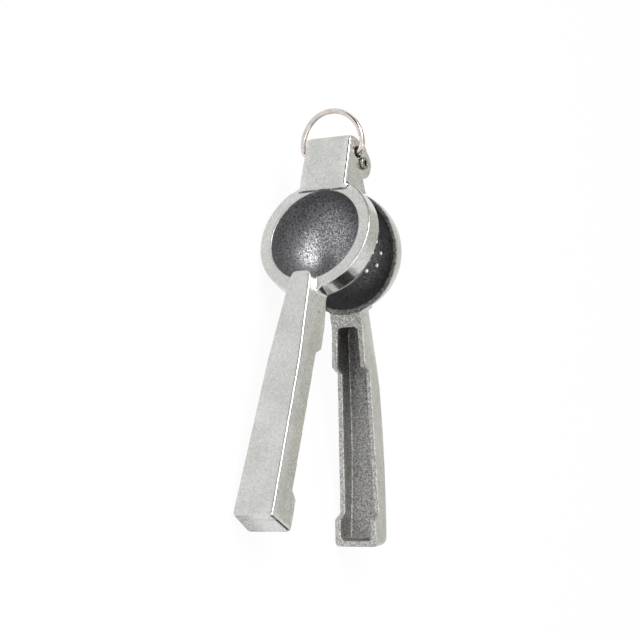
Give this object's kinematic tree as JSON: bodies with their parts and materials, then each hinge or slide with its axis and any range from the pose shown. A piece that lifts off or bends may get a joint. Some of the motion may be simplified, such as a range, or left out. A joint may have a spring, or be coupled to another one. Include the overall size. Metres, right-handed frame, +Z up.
{
  "type": "lemon squeezer",
  "caption": "Hand-held lemon squeezer with a perforated cup lever and a domed plunger lever, riveted together, and a wire hanging loop.",
  "frame": {"origin": "on the resting plane, under the middle of the tool as it lies on its side with the levers a little open", "axes": "+X along the length, from the hanging loop towards the handles' ends; +Z up from the resting plane; -Y on the plunger lever's side, so that +Y is on the cup lever's side"},
  "size_m": [0.2317, 0.1168, 0.067],
  "materials": {
    "cast_aluminium": "satin",
    "rivet_steel": "satin",
    "nickel_wire": "polished"
  },
  "bodies": {
    "cup": {"cup_lever": "cast_aluminium"},
    "plunger": {"plunger_lever": "cast_aluminium", "hinge_rivet": "rivet_steel"},
    "loop": {"hanging_loop": "nickel_wire"}
  },
  "joints": [
    {"name": "lever_hinge", "type": "hinge", "parent": "cup", "child": "plunger", "pos_m": [-0.08662, 0.00101, 0.03956], "axis": [-0.1325, 0, -0.9912], "range_deg": [-24.5, 90]},
    {"name": "loop_swing", "type": "hinge", "parent": "plunger", "child": "loop", "pos_m": [-0.09163, -0.00434, 0.04023], "axis": [0.1325, 0, 0.9912], "range_deg": [-60, 110]}
  ]
}
